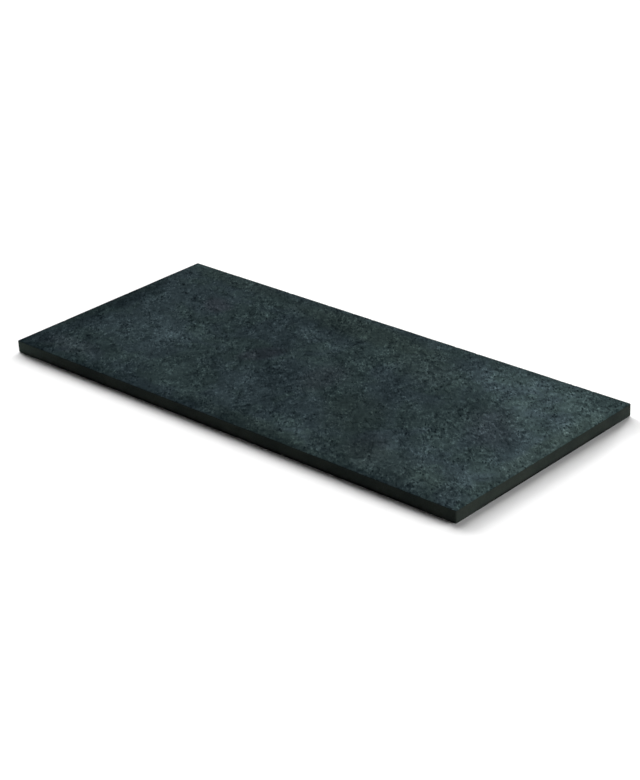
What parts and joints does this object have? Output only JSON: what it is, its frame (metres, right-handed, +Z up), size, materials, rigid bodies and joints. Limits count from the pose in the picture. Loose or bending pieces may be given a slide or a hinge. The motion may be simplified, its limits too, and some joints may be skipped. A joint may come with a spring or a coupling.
{
  "type": "basalt massage stone",
  "caption": "Thin rectangular slab of dark blue-grey basalt with a brushed, finely pitted top face, smooth honed edges and a flat sawn underside.",
  "frame": {"origin": "middle of the sawn underside, in the plane that the slab lies on", "axes": "+X along the slab's length, +Y across its width, +Z up through its thickness to the brushed face"},
  "size_m": [0.4, 0.18, 0.009],
  "materials": {
    "basalt": "matte"
  },
  "bodies": {
    "root": {"basalt_slab": "basalt"}
  },
  "joints": []
}
